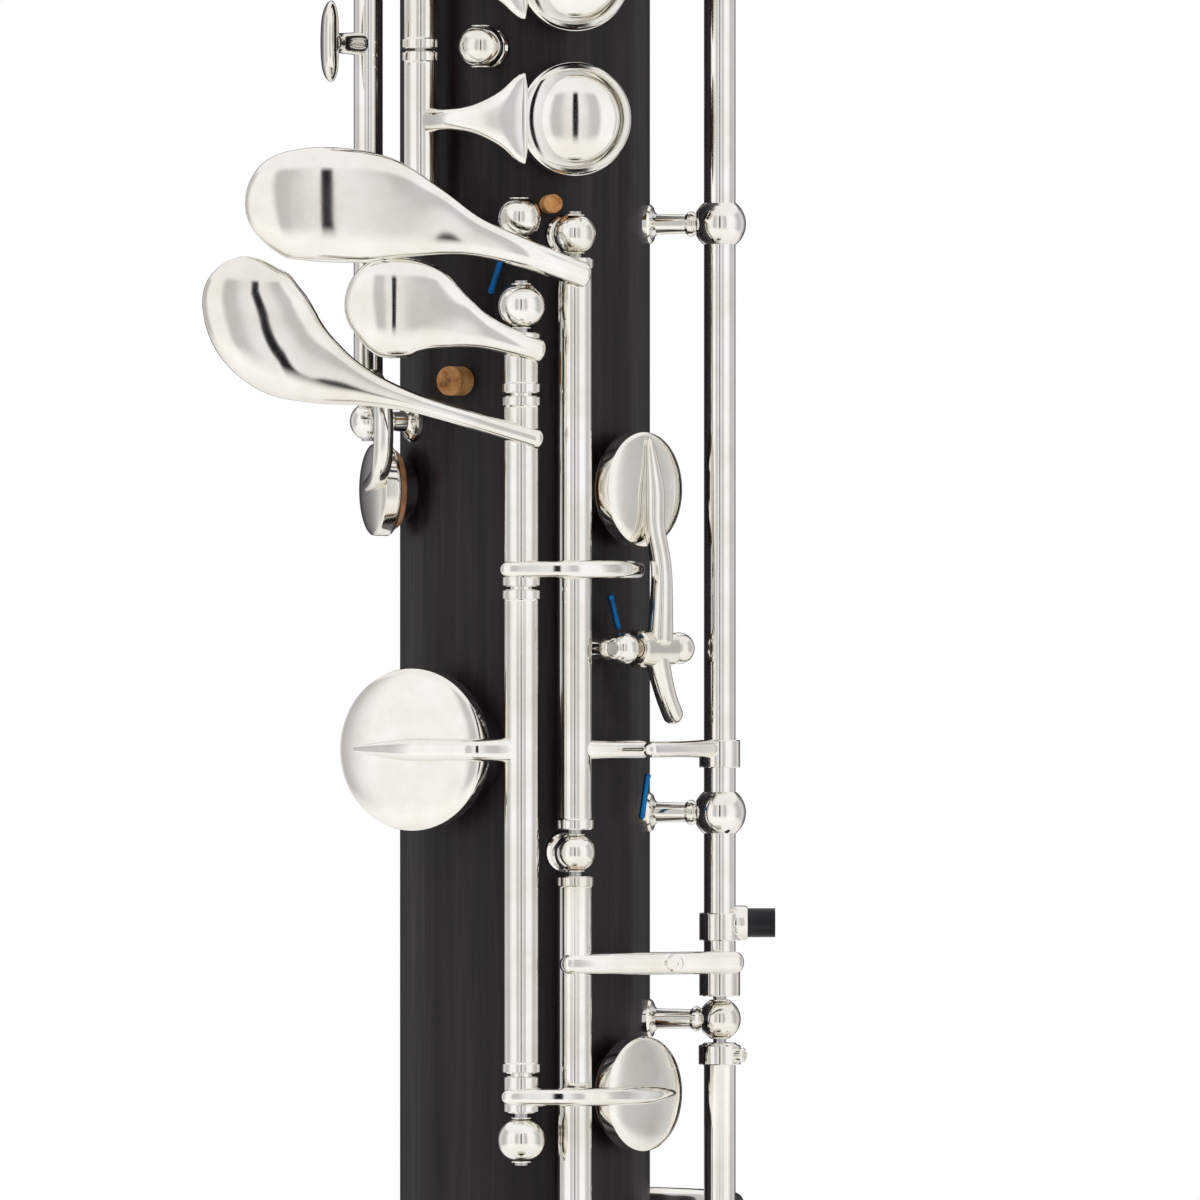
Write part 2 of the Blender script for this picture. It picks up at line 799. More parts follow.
# Height of the little finger keys' middle, from which the lower joint's heights are counted.
K = BODY.key_z
CUPS = {
    "low_e": CupSpec(-40, K - 22.5, 12.3),
    "e_flat": CupSpec(49, K + 16.7, 8.7),
    "vent": CupSpec(49, K - 74.5, 8.7),
    "low_d": CupSpec(-22, 420, 14),
    "low_c_sharp": CupSpec(38, 374, 13),
    "right_ring": CupSpec(20.6, K + 72.2, 8.6),
    "right_middle": CupSpec(20.6, K + 93.9, 8.6),
    "right_index": CupSpec(20.6, K + 115.6, 8.6),
    "side": CupSpec(-72, K + 16.7, 7),
    "left_ring": CupSpec(12, 869, 9),
    "left_middle": CupSpec(12, 907, 9),
    "left_index": CupSpec(12, 945, 9),
    "throat_a": CupSpec(10, 1064, 6.5),
    "register": CupSpec(180, 1058, 5.5),
    "trill": CupSpec(-78, 1046, 7),
}
# Keys that stand open at rest, and their turn there.
OPEN_TURNS = {
    "low_e": Hinge.A.swung(13),
    "low_d": Hinge.B.swung(12),
    **{name: Hinge.M.swung(-8) for name in
       ("right_ring", "right_middle", "right_index", "left_ring", "left_middle", "left_index")},
}


# Height of the lower joint's topmost hinge tube ends.
ROD_TOP = 710.4
# Outer diameters of the hinge tubes, in millimetres.
WIDE_TUBE = 5.3
TUBE = 5.2
SLIM_TUBE = 4.8
SIDE_TUBE = 4.4


@dataclass
class Pad:
    """A key pad: felt and card in stretched leather, with the ring that its tone hole has pressed in."""

    name: str
    cup: CupSpec
    clearance: float = 0.06
    edge_bulge: float = 0.9
    seat_mark: float = 0.22
    fill: float = 0.85

    def build(self) -> bpy.types.Object:
        """Builds the pad in place of its plain solid.

        Returns:
            The pad.
        """
        r = self.cup.radius - BODY.cup_wall - self.clearance
        low, high = BODY.pad_low, BODY.pad_high
        ring = self.cup.radius - 3.0
        profile = [(0, high), (r - 0.4, high), (r - 0.05, high - 0.3), (r, high - 1.0)]
        profile += [(r - 0.02 - 0.5 * (1 - math.cos(math.radians(a))),
                     low + self.edge_bulge - self.edge_bulge * math.sin(math.radians(a)))
                    for a in range(0, 91, 15)]
        mark = low + self.seat_mark
        slope = low + self.seat_mark * 0.6
        profile += [(ring + 0.9, low), (ring + 0.45, slope), (ring, mark), (ring - 0.45, slope),
                    (ring - 0.9, low), (ring * 0.5, low + 0.02), (0, low + 0.03)]
        skin = Surface(self.name + "_pad_leather")
        place = BODY.on_wall(self.cup.turn, self.cup.z)
        if self.name in OPEN_TURNS:
            place = OPEN_TURNS[self.name] @ place
        skin.lathe(profile, place)
        made = skin.finish([self.name + "_pad"], "leather", 50)
        return made


@dataclass
class Key:
    """One plated key: hinge tube, arms, cup and touch brazed into one piece."""

    name: str
    skin: Surface = field(init=False)

    def __post_init__(self) -> None:
        """Starts the key's skin."""
        self.skin = Surface(self.name + "_plated")

    def tube(self, hinge: Hinge, z0: float, z1: float, d: float, collars: bool = True) -> "Key":
        """Adds a hinge tube with turned collars.

        Args:
            hinge: The hinge line.
            z0: Height of its low end.
            z1: Height of its high end.
            d: Outer diameter.
            collars: Whether each end has a collar.

        Returns:
            The key.
        """
        r, collar, bore = d / 2, 1.6, 1.1
        lip = 0.25 if collars else 0.0
        profile = [(bore, z0), (r + lip - 0.2, z0), (r + lip, z0 + 0.2), (r + lip, z0 + collar - 0.2),
                   (r + lip * 0.2, z0 + collar), (r, z0 + collar + 0.15), (r, z1 - collar - 0.15),
                   (r + lip * 0.2, z1 - collar), (r + lip, z1 - collar + 0.2), (r + lip, z1 - 0.2),
                   (r + lip - 0.2, z1), (bore, z1)]
        p = hinge.at(0)
        self.skin.lathe(profile, Matrix.Translation((p.x, p.y, 0)), 40)
        return self

    def sleeve(self, hinge: Hinge, z: float, h: float, d: float) -> "Key":
        """Adds a plain collar round a hinge tube.

        Args:
            hinge: The hinge line.
            z: Height of its low end.
            h: Its length.
            d: Outer diameter.

        Returns:
            The key.
        """
        r = d / 2
        p = hinge.at(0)
        self.skin.lathe([(r - 0.7, z), (r - 0.15, z), (r, z + 0.15), (r, z + h - 0.15), (r - 0.15, z + h),
                         (r - 0.7, z + h)], Matrix.Translation((p.x, p.y, 0)), 40)
        return self

    def cup(self, cup: CupSpec, turned: Matrix | None = None) -> "Key":
        """Adds a pad cup with a rolled lip and a domed back.

        Args:
            cup: The cup's place and radius.
            turned: Its turn about the hinge where the key stands open.

        Returns:
            The key.
        """
        r, wall = cup.radius, BODY.cup_wall
        low = BODY.pad_low + BODY.pad_show
        edge = BODY.pad_high + 0.2
        top = BODY.crown(r)
        profile = [(0, BODY.pad_high), (r - wall, BODY.pad_high), (r - wall, low + 0.15),
                   (r - wall * 0.6, low), (r - 0.12, low + 0.05), (r + 0.02, low + 0.3), (r, low + 0.65),
                   (r - 0.03, edge - 0.2)]
        profile += [(r * math.cos(math.radians(a)), edge + (top - edge) * math.sin(math.radians(a)))
                    for a in range(8, 90, 8)]
        profile += [(0, top)]
        place = BODY.on_wall(cup.turn, cup.z)
        self.skin.lathe(profile, turned @ place if turned is not None else place, 72)
        return self

    def arm(self, points: Sequence[Vector | Sequence[float]], r: float, turned: Matrix | None = None,
            outward: Vector | None = None, ends: tuple[float, float] = (1.25, 1.0)) -> "Key":
        """Adds a bent arm that swells a little where it is brazed on.

        Args:
            points: Points along its middle line.
            r: Half width.
            turned: Its turn about the hinge where the key stands open.
            outward: Direction its front faces, or None for away from the body's axis.
            ends: Width at each end as a share of the width between.

        Returns:
            The key.
        """
        pts = [Vector(p) for p in points]
        if len(pts) == 2:
            pts.insert(1, pts[0].lerp(pts[1], 0.3))
        shares = [ends[0]] + [1.0] * (len(pts) - 2) + [ends[1]]
        sections = [Section(tuple(p), r * s, r * s, r * s) for p, s in zip(pts, shares)]
        self.skin.sweep(sections, outward, r, r, turned, edge=2.4)
        return self

    def touch(self, rows: Sequence[Sequence[float]], outward: Vector, round_start: float,
              round_end: float) -> "Key":
        """Adds a finger touch that runs out into its arm.

        Args:
            rows: Place, half width and thickness of the front and back of each section.
            outward: Direction its front faces.
            round_start: Length over which its free end rounds off.
            round_end: Length over which its other end rounds off.

        Returns:
            The key.
        """
        sections = [Section((x, y, z), w, f, b) for x, y, z, w, f, b in rows]
        self.skin.sweep(sections, outward, round_start, round_end, steps=14, sides=48)
        return self

    def boss(self, at: Vector, along: Vector, r: float, h: float) -> "Key":
        """Adds a small turned boss, such as a screw head or a stop.

        Args:
            at: Middle of its base.
            along: Direction it stands in.
            r: Radius.
            h: Height.

        Returns:
            The key.
        """
        place = Matrix.Translation(at) @ along.to_track_quat("Z", "Y").to_matrix().to_4x4()
        self.skin.lathe([(0, 0), (r, 0), (r, h - 0.25), (r - 0.25, h), (r * 0.35, h), (r * 0.3, h - 0.3),
                         (0, h - 0.3)], place, 32)
        return self

    def done(self) -> bpy.types.Object:
        """Makes the key's object in place of its CAD node."""
        return self.skin.finish([self.name], "key_plate")


@dataclass
class LittleFingerKeys:
    """The right little finger's keys and the rods, arms and cups they move."""

    touch_y: float = -31.0

    def build(self) -> None:
        """Builds each key."""
        self.low_f()
        self.low_e()
        self.e_flat()
        self.outer_rod()
        self.low_d()
        self.vent()
        self.low_c_sharp()

    def low_f(self) -> None:
        """Builds the top touch and its long hinge tube."""
        y = self.touch_y - 0.3
        key = Key("low_f_key").tube(Hinge.B, K - 34.5, K + 51.4, TUBE)
        key.touch([(-41.6, y, K + 58.0, 6.6, 1.5, 1.2), (-36.5, y, K + 58.9, 7.8, 2.5, 1.3),
                   (-29.8, y, K + 59.2, 8.6, 3.1, 1.4), (-21.5, y, K + 58.4, 8.0, 2.5, 1.4),
                   (-14.2, y, K + 56.6, 5.4, 1.6, 1.5), (-7.4, y + 0.2, K + 54.4, 3.0, 1.3, 1.5),
                   (0.2, y + 1.6, K + 51.9, 2.2, 1.5, 1.5), (5.6, y + 4.4, K + 49.9, 2.0, 1.6, 1.6),
                   (9.6, y + 6.8, K + 48.4, 2.1, 1.9, 1.9)], FRONT, 6.4, 1.2)
        key.arm([(7.6, -23.4, K - 22.5), (12.6, -20.6, K - 22.5), (18.6, -16.2, K - 22.5)], 1.4)
        key.done()

    def low_e(self) -> None:
        """Builds the middle touch, its shaft, lower tube and large cup."""
        y = self.touch_y + 0.4
        key = Key("low_e_key").tube(Hinge.A, K + 31, K + 40.1, WIDE_TUBE)
        p = Hinge.A.at(0)
        key.skin.lathe([(0, K - 77), (1.7, K - 77), (1.7, K + 40), (0, K + 40)],
                       Matrix.Translation((p.x, p.y, 0)), 32)
        key.tube(Hinge.A, K - 71, K + 1.6, WIDE_TUBE)
        key.touch([(-26.8, y, K + 43.2, 6.0, 1.4, 1.2), (-23.8, y, K + 43.6, 7.1, 2.2, 1.3),
                   (-19.6, y, K + 43.8, 7.6, 2.8, 1.4), (-15.0, y, K + 43.4, 6.9, 2.3, 1.4),
                   (-10.4, y, K + 41.8, 4.4, 1.5, 1.4), (-6.0, y + 0.4, K + 40.1, 2.6, 1.3, 1.4),
                   (-1.6, y + 1.6, K + 38.5, 2.0, 1.5, 1.5), (3.0, y + 3.4, K + 37.0, 1.9, 1.7, 1.7)],
                  FRONT, 5.8, 1.2)
        opened, c = OPEN_TURNS["low_e"], CUPS["low_e"]
        key.cup(c, opened)
        crown = BODY.crown(12)
        key.arm([Hinge.A.at(c.z), BODY.over(c, 11.4, crown - 0.2), BODY.over(c, 6, crown + 0.1),
                 BODY.over(c, 0, crown + 0.1), BODY.over(c, -10.6, crown - 1.3)],
                1.7, opened, ends=(1.2, 0.25))
        key.done()

    def e_flat(self) -> None:
        """Builds the leaf-shaped touch, and the rocking lever and cup that it lifts."""
        y = self.touch_y
        key = Key("e_flat_lever").tube(Hinge.A, K + 2, K + 30.6, WIDE_TUBE)
        key.touch([(-42.4, y, K + 51.4, 5.2, 1.4, 1.2), (-41.6, y, K + 46.8, 6.9, 2.3, 1.3),
                   (-39.4, y, K + 41.6, 7.9, 2.8, 1.4), (-35.4, y, K + 37.2, 7.2, 2.6, 1.4),
                   (-29.8, y, K + 34.0, 4.9, 2.0, 1.4), (-23.6, y, K + 31.7, 2.7, 1.6, 1.4),
                   (-16.0, y + 0.4, K + 29.4, 1.5, 1.4, 1.4), (-7.0, y + 1.4, K + 26.7, 1.4, 1.4, 1.4),
                   (2.8, y + 3.4, K + 23.8, 1.6, 1.5, 1.5)], FRONT, 5.4, 1.2)
        key.arm([(-3.6, -27.6, K + 4.6), (-0.4, -28.2, K + 4.6), (7.6, -28.4, K + 4.6),
                 (13.4, -24.7, K + 4.6), (17.3, -16.2, K + 4.6)], 1.4, ends=(0.8, 1.0))
        key.done()
        c = CUPS["e_flat"]
        rocker = Key("e_flat_cup_key").cup(c)
        place = BODY.on_wall(49, K)
        across = place @ Matrix.Translation((0, -7.3, 25.3)) @ Matrix.Rotation(math.pi / 2, 4, "Y")
        rocker.skin.lathe([(1.1, -3.8), (2.6, -3.8), (2.9, -3.5), (2.9, 3.5), (2.6, 3.8), (1.1, 3.8)],
                          across, 40)
        crown = BODY.crown(9)
        rocker.arm([place @ Vector(v) for v in ((0, -7.3, 27.0), (0, 4, 27.4), (0, 11, crown + 0.7),
                                                (0, 17, crown + 0.5), (0, 24.6, crown - 0.5))],
                   1.5, ends=(1.3, 0.35))
        rocker.arm([place @ Vector(v) for v in ((0, -7.3, 26), (2.4, -14, 26), (5.6, -18.4, 25.4))], 1.5)
        rocker.done()

    def outer_rod(self) -> None:
        """Builds the long outer rod key with its two arms."""
        key = Key("outer_rod_key").tube(Hinge.C, K - 60, ROD_TOP, SLIM_TUBE, False)
        for z in (K - 60, K - 51.6, K - 25.4, 700):
            key.sleeve(Hinge.C, z, 4.2, 6.2)
        key.arm([Hinge.C.at(K - 22.5), (24, -15.4, K - 22.5), (18.4, -22.9, K - 22.5)], 1.2)
        key.arm([Hinge.C.at(K - 54.7), (23.4, -10.4, K - 54.7), (17.6, -14.2, K - 54.7)], 1.3)
        start = Hinge.C.at(K - 48.9)
        place = Matrix.Translation(start) @ Matrix.Rotation(math.pi / 2, 4, "Y")
        key.skin.lathe([(0, 2.0), (2.3, 2.0), (2.6, 2.4), (2.6, 3.9), (2.4, 4.2), (1.06, 4.2), (1.06, 2.7),
                        (0, 2.7)], place, 40)
        key.done()

    def low_d(self) -> None:
        """Builds the lower tube, its long arm and the low D cup."""
        opened, c = OPEN_TURNS["low_d"], CUPS["low_d"]
        key = Key("low_d_key").tube(Hinge.B, 406, K - 41.5, TUBE)
        key.arm([(5.4, -24.4, K - 54.7), (12, -22.6, K - 54.7), (22.4, -18.3, K - 54.7),
                 (33, -13.6, K - 54.7)], 1.7, outward=FRONT, ends=(1.0, 1.0))
        key.boss(Vector((22.3, -19.4, K - 54.7)), Vector((0.34, -0.94, 0)), 1.3, 1.6)
        key.arm([Hinge.B.at(K - 74.5), (9.8, -24.8, K - 74.5)], 1.0)
        key.cup(c, opened)
        crown = BODY.crown(14)
        key.arm([Hinge.B.at(c.z) + Vector((0, -1.7, 0)), BODY.over(c, 13.2, crown - 0.3),
                 BODY.over(c, 7, crown + 0.2), BODY.over(c, 0, crown + 0.2), BODY.over(c, -12, crown - 1.4)],
                1.7, opened, ends=(1.2, 0.25))
        key.done()

    def vent(self) -> None:
        """Builds the vent key's short tube, arm and cup."""
        z = K - 74.5
        key = Key("vent_key").tube(Hinge.A, K - 76.9, K - 71.4, WIDE_TUBE, False)
        key.cup(CUPS["vent"])
        key.arm([(-3.4, -27.8, z), (0.2, -28.4, z), (8.4, -28.4, z), (14, -25, z),
                 BODY.wall(47, BODY.crown(9) + 0.5, z), BODY.over(CUPS["vent"], 6.6, BODY.crown(9) - 0.8)],
                1.4, ends=(0.8, 0.3))
        key.done()

    def low_c_sharp(self) -> None:
        """Builds the lowest key with its thumb lever round the back."""
        c = CUPS["low_c_sharp"]
        key = Key("low_c_sharp_key").tube(Hinge.C, 358, K - 67.1, SLIM_TUBE)
        key.sleeve(Hinge.C, K - 70.4, 3, 6.4)
        key.boss(Hinge.C.at(K - 68.9) + Vector((2.0, -1.2, 0)), Vector((0.87, -0.5, 0)), 1.1, 2.0)
        key.cup(c)
        crown = BODY.crown(13)
        key.arm([Hinge.C.at(374), BODY.over(c, 12, crown - 0.2), BODY.over(c, 6, crown + 0.2),
                 BODY.over(c, 0, crown + 0.1), BODY.over(c, -10.6, crown - 1.2)],
                1.6, ends=(1.2, 0.3))
        key.arm([Hinge.C.at(468), (31.6, 4, 468), (30, 14, 468), (23.4, 21.6, 468), (16, 27, 468)], 1.7)
        back = Vector((0.35, 0.94, 0))
        key.touch([(13, 28, 477, 4.6, 1.4, 1.2), (13, 28.1, 472, 5.8, 1.8, 1.4), (13, 28, 466, 6.0, 1.8, 1.4),
                   (13, 27.9, 459, 4.4, 1.4, 1.2)], back, 4.6, 4.4)
        key.done()


@dataclass
class FingerKeys:
    """The finger plates, side keys, rocking keys and the left little finger's lever."""

    def build(self) -> None:
        """Builds each key."""
        for name, z0, z1 in (("right_ring", K + 60.9, K + 82.6), ("right_middle", K + 83, K + 104.4),
                             ("right_index", K + 104.8, K + 125.6), ("left_ring", 849.4, 887.6),
                             ("left_middle", 888, 925.6), ("left_index", 926, 964.6)):
            self.plate(name, z0, z1)
        self.side_lever("side", K + 30.2, ROD_TOP, K + 84)
        self.side_lever("trill", 929.4, 1056.6, 940)
        self.rocker("throat_a", 10, 1036, 24)
        self.rocker("register", 180, 1022, 34)
        self.left_little()

    def plate(self, name: str, z0: float, z1: float) -> None:
        """Builds a finger plate: a cup with a domed touch, on a fanned arm.

        Args:
            name: Name of its cup.
            z0: Height of its tube's low end.
            z1: Height of its tube's high end.
        """
        c, opened = CUPS[name], OPEN_TURNS[name]
        key = Key(name + "_key").tube(Hinge.M, z0, z1, WIDE_TUBE).cup(c, opened)
        r, top = c.radius * 0.8, BODY.crown(c.radius)
        profile = [(0, top - 1), (r, top - 1)]
        profile += [(r * math.sin(math.radians(a)), top - 1.1 + 2.8 * math.cos(math.radians(a)))
                    for a in range(88, 0, -8)]
        profile += [(0, top + 1.7)]
        # The touch is tipped to face straight ahead, however far its cup stands open.
        leans = opened @ BODY.on_wall(c.turn, c.z) @ Matrix.Translation((0, 0, top - 1.1))
        leans = (leans @ Matrix.Rotation(math.radians(8 - c.turn), 4, "Y")
                 @ Matrix.Translation((0, 0, 1.1 - top)))
        rim = [(r + 0.35, top - 1.3), (r + 0.4, top - 0.1), (r + 0.7, top + 0.35), (r + 1.2, top + 0.3),
               (r + 1.55, top - 0.3), (r + 1.5, top - 1.6)]
        key.skin.lathe(rim, leans, 72)
        key.skin.lathe(profile, leans, 72)
        # The arm fans out to the cup's whole height, as it does where it is brazed under the rim.
        rows = [(Hinge.M.at(c.z), 2.0, 1.5), (BODY.wall(c.turn - 46, BODY.crown(6) + 0.3, c.z), 1.6, 1.3),
                (BODY.wall(c.turn - 36, BODY.crown(6) + 0.1, c.z), 2.2, 1.2),
                (BODY.wall(c.turn - 27, BODY.crown(6), c.z), 4.0, 1.1),
                (BODY.wall(c.turn - 21, BODY.crown(6) + 0.1, c.z), 6.2, 1.0),
                (BODY.wall(c.turn - 16.5, BODY.crown(6) + 0.2, c.z), 7.2, 0.8)]
        key.skin.sweep([Section(tuple(p), w, t, t) for p, w, t in rows], None, 1.0, 0.6, opened, edge=2.6)
        key.done()

    def side_lever(self, name: str, z0: float, z1: float, paddle_z: float) -> None:
        """Builds a side key with its paddle and cup.

        Args:
            name: Name of its cup.
            z0: Height of its tube's low end.
            z1: Height of its tube's high end.
            paddle_z: Height of its paddle.
        """
        c, p = CUPS[name], Hinge.L.at(0)
        key = Key(name + "_key").tube(Hinge.L, z0, z1, SIDE_TUBE).cup(c)
        key.arm([(p.x, p.y, paddle_z), (p.x - 4.5, p.y - 4, paddle_z), (p.x - 5.4, p.y - 9, paddle_z)], 1.5)
        side = Vector((-1, 0, 0))
        key.touch([(p.x - 5.4, p.y - 8.6, paddle_z + 6.2, 2.6, 1.2, 1.0),
                   (p.x - 5.5, p.y - 8.8, paddle_z + 2, 3.8, 1.5, 1.2),
                   (p.x - 5.5, p.y - 9.2, paddle_z - 2, 4.0, 1.5, 1.2),
                   (p.x - 5.4, p.y - 10.2, paddle_z - 6, 2.4, 1.2, 1.0)], side, 3.0, 2.6)
        if name == "side":
            points = [Hinge.L.at(K + 34), Vector((-21.4, -17.4, K + 30)), Vector((-21.6, -16.4, K + 20)),
                      BODY.wall(-72, BODY.crown(7) + 0.1, K + 17)]
        else:
            points = [Hinge.L.at(1046), BODY.wall(-69, BODY.crown(7) + 1.4, 1046),
                      BODY.wall(-78, BODY.crown(7) + 0.1, 1046)]
        key.arm(points, 1.4, ends=(1.25, 0.6))
        key.done()

    def rocker(self, name: str, turn: float, z: float, drop: float) -> None:
        """Builds a rocking key with its cup above and touch below the cross pivot.

        Args:
            name: Name of its cup.
            turn: Turn of its pivot from the front.
            z: Height of its pivot.
            drop: Distance from the pivot down to the touch.
        """
        c, place = CUPS[name], BODY.on_wall(turn, z)
        key = Key(name + "_key").cup(c)
        key.skin.lathe([(1.1, -3.8), (2.4, -3.8), (2.7, -3.5), (2.7, 3.5), (2.4, 3.8), (1.1, 3.8)],
                       place @ Matrix.Translation((0, 0, 25.3)) @ Matrix.Rotation(math.pi / 2, 4, "Y"), 40)
        rise = c.z - z
        key.arm([place @ Vector(v) for v in ((0, rise + c.radius * 0.5, BODY.crown(c.radius) - 0.1),
                                             (0, rise, BODY.crown(c.radius) + 0.2), (0, rise * 0.5, 27.4),
                                             (0, 0, 27), (0, -drop * 0.5, 27.6), (0, -drop, 27.8))],
                1.5, ends=(0.5, 1.0))
        rows = [(place @ Vector((0, y, 28.0)), w, f) for y, w, f in
                ((-drop - 6.6, 4.2, 1.2), (-drop - 3, 5.2, 1.6), (-drop + 1, 5.0, 1.6), (-drop + 5, 3.2, 1.5),
                 (-drop + 10, 1.7, 1.4))]
        outward = place.to_3x3() @ Vector((0, 0, 1))
        key.touch([(*p, w, f, 1.2) for p, w, f in rows], outward, 4.2, 1.0)
        key.done()

    def left_little(self) -> None:
        """Builds the left little finger's lever."""
        key = Key("left_little_lever").tube(Hinge.U, 819.4, 882.6, SLIM_TUBE)
        key.arm([Hinge.U.at(872), (30, -16.5, 872), (36, -19, 868)], 1.6)
        out = Vector((0.7, -0.7, 0))
        key.touch([(38.6, -20.4, 853.4, 3.8, 1.3, 1.1), (38.5, -20.3, 858, 4.8, 1.7, 1.3),
                   (38.3, -20.2, 864, 4.6, 1.7, 1.3), (37.0, -19.6, 870, 2.6, 1.4, 1.2)], out, 4.0, 2.0)
        key.arm([Hinge.U.at(826), (21.6, -17.6, 826), (19.5, -22.5, 826)], 1.4)
        key.done()


@dataclass
class Posts:
    """The turned posts that carry the rods, screwed into the wood, in millimetres."""

    stem: float = 1.8
    foot: float = 3.0
    depth: float = 4.5
    foot_sink: float = 0.6
    rod_hole: float = 1.02
    tube_hole: float = 2.45
    pivot_side: float = 6.4
    pivot_gap: float = 6.3
    pivot_ball: float = 2.4

    def build(self) -> None:
        """Builds the posts of both joints."""
        a, b, c, low, mid, up = (line.value for line in Hinge)
        rod, tube = self.rod_hole, self.tube_hole
        lower = [(a, K + 44.1, 3.6, rod), (a, K - 81, 3.6, rod), (b, K + 55, 3.2, rod), (b, K - 38, 3.1, rod),
                 (b, 402.5, 3.1, rod), (c, 714, 3.2, rod), (c, K + 57, 4, tube), (c, K - 32.2, 4, tube),
                 (c, K - 63.5, 3.2, rod), (c, 354.5, 3.2, rod), (low, K + 27, 2.8, rod), (low, 714, 2.8, rod),
                 (mid, K + 57.5, 3, rod), (mid, K + 129, 3, rod), ((-1.8, 4.6), K + 57.4, 3.3, rod),
                 ((-16, 4.6), K + 83.2, 3.4, rod)]
        upper = [(mid, 846, 3, rod), (mid, 968, 3, rod), (low, 926, 2.8, rod), (low, 1060, 2.8, rod),
                 (up, 816, 3, rod), (up, 886, 3, rod)]
        self.set_of("lower_posts", lower, [(49, K - 7.3)])
        self.set_of("upper_posts", upper, [(10, 1036), (180, 1022)])

    def set_of(self, node: str, posts: Sequence[tuple[tuple[float, float], float, float, float]],
               pivots: Sequence[tuple[float, float]]) -> None:
        """Builds one joint's posts as one group.

        Args:
            node: CAD node that they stand for.
            posts: Hinge line, height, ball radius and hole radius of each post.
            pivots: Turn and height of each cross pivot, which has two posts.
        """
        skin = Surface(node + "_turned")
        for (turn, gap), z, ball, hole in posts:
            self.one(skin, BODY.on_wall(turn, z), gap, ball, hole, Vector((0, 1, 0)))
        for turn, z in pivots:
            for side in (-self.pivot_side, self.pivot_side):
                place = BODY.on_wall(turn, z) @ Matrix.Translation((side, 0, 0))
                self.one(skin, place, self.pivot_gap, self.pivot_ball, self.rod_hole, Vector((1, 0, 0)),
                         footed=False)
        skin.finish([node], "key_plate", 30)

    def one(self, skin: Surface, place: Matrix, gap: float, ball: float, hole: float, through: Vector,
            footed: bool = True) -> None:
        """Adds one post: threaded foot, turned neck, ball and the drilled faces of its hole.

        Args:
            skin: Skin that gets the post.
            place: Place on the wall, local z outward from the body's axis.
            gap: Height of the hole above the wood.
            ball: Ball radius.
            hole: Radius of the hole.
            through: Local direction of the hole.
            footed: Whether it has a flange at the wood.
        """
        base, centre = BODY.radius, BODY.radius + gap
        neck = self.stem * 0.86
        profile = [(0, base - self.depth), (self.stem, base - self.depth)]
        if footed:
            profile += [(self.stem, base - self.foot_sink), (self.foot, base - self.foot_sink),
                        (self.foot, base + 0.45), (self.foot - 0.3, base + 0.8),
                        (self.stem + 0.35, base + 0.95)]
        else:
            profile += [(self.stem, base + 0.4)]
        start = math.asin(min(0.95, neck / ball))
        if gap > ball + 2.4:
            profile += [(neck, base + 1.5), (neck * 0.94, centre - ball - 1.2),
                        (neck + 0.35, centre - ball - 0.7), (neck + 0.35, centre - ball - 0.2)]
        profile += [(ball * math.sin(a), centre - ball * math.cos(a)) for a in
                    (start + (math.pi - start) * k / 20 for k in range(20))]
        profile += [(0, centre + ball)]
        axis = through.to_track_quat("Z", "Y").to_matrix().to_4x4()
        if hole < self.tube_hole:
            skin.lathe(profile, place, 40)
            # Screw end sunk in the ball's face, with a turned lip round it.
            for flip in (1, -1):
                turn = Matrix.Identity(4) if flip == 1 else Matrix.Rotation(math.pi, 4, "X")
                end = place @ Matrix.Translation((0, 0, centre)) @ axis @ turn
                d = math.sqrt(ball ** 2 - 1.5 ** 2)
                skin.lathe([(1.6, d - 0.3), (1.55, d + 0.1), (1.25, d + 0.12), (1.15, d - 0.05),
                            (1.0, d - 0.3)], end, 32)
        else:
            # A guide ring: the ball is bored right through for the tube that runs in it.
            skin.lathe([p for p in profile if p[1] < centre - hole - 0.1] + [(0, centre - hole - 0.3)],
                       place, 40)
            reach = math.sqrt(ball ** 2 - hole ** 2) - 0.05
            outline = [(hole + 0.03, -reach)]
            outline += [(math.sqrt(max(ball ** 2 - (reach * t) ** 2, 0)), reach * t) for t in
                        (k / 8 for k in range(-8, 9))]
            outline += [(hole + 0.03, reach), (hole + 0.03, -reach)]
            skin.lathe(outline, place @ Matrix.Translation((0, 0, centre)) @ axis, 48)


@dataclass
class CadNodes:
    """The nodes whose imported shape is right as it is, which get their finish and smooth shading."""

    crisp_deg: float = 28.0
    weld_mm: float = 0.002

    def dress(self) -> None:
        """Gives every shown CAD node its finish."""
        slots = {p["node"]: p["material_slot"] for p in frame["record"]["subparts"]}
        for name, node in sorted(frame["nodes"].items()):
            if node.hide_render:
                continue
            node.data.materials.clear()
            node.data.materials.append(SLOT_FINISHES[slots[name]].value.material())
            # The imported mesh's own normals go, so that the new shading can settle.
            custom = node.data.attributes.get("custom_normal")
            if custom:
                node.data.attributes.remove(custom)
            for face in node.data.polygons:
                face.use_smooth = True
            weld = node.modifiers.new("weld", "WELD")
            weld.merge_threshold = self.weld_mm * MM
            crisp = node.modifiers.new("crisp edges", "EDGE_SPLIT")
            crisp.split_angle = math.radians(self.crisp_deg)
            log.info("%s: finish %s", name, slots[name])


@dataclass(frozen=True)
class Softbox:
    """A square soft light: place in metres, side in metres and power in watts."""

    name: str
    at: tuple[float, float, float]
    side: float
    power: float


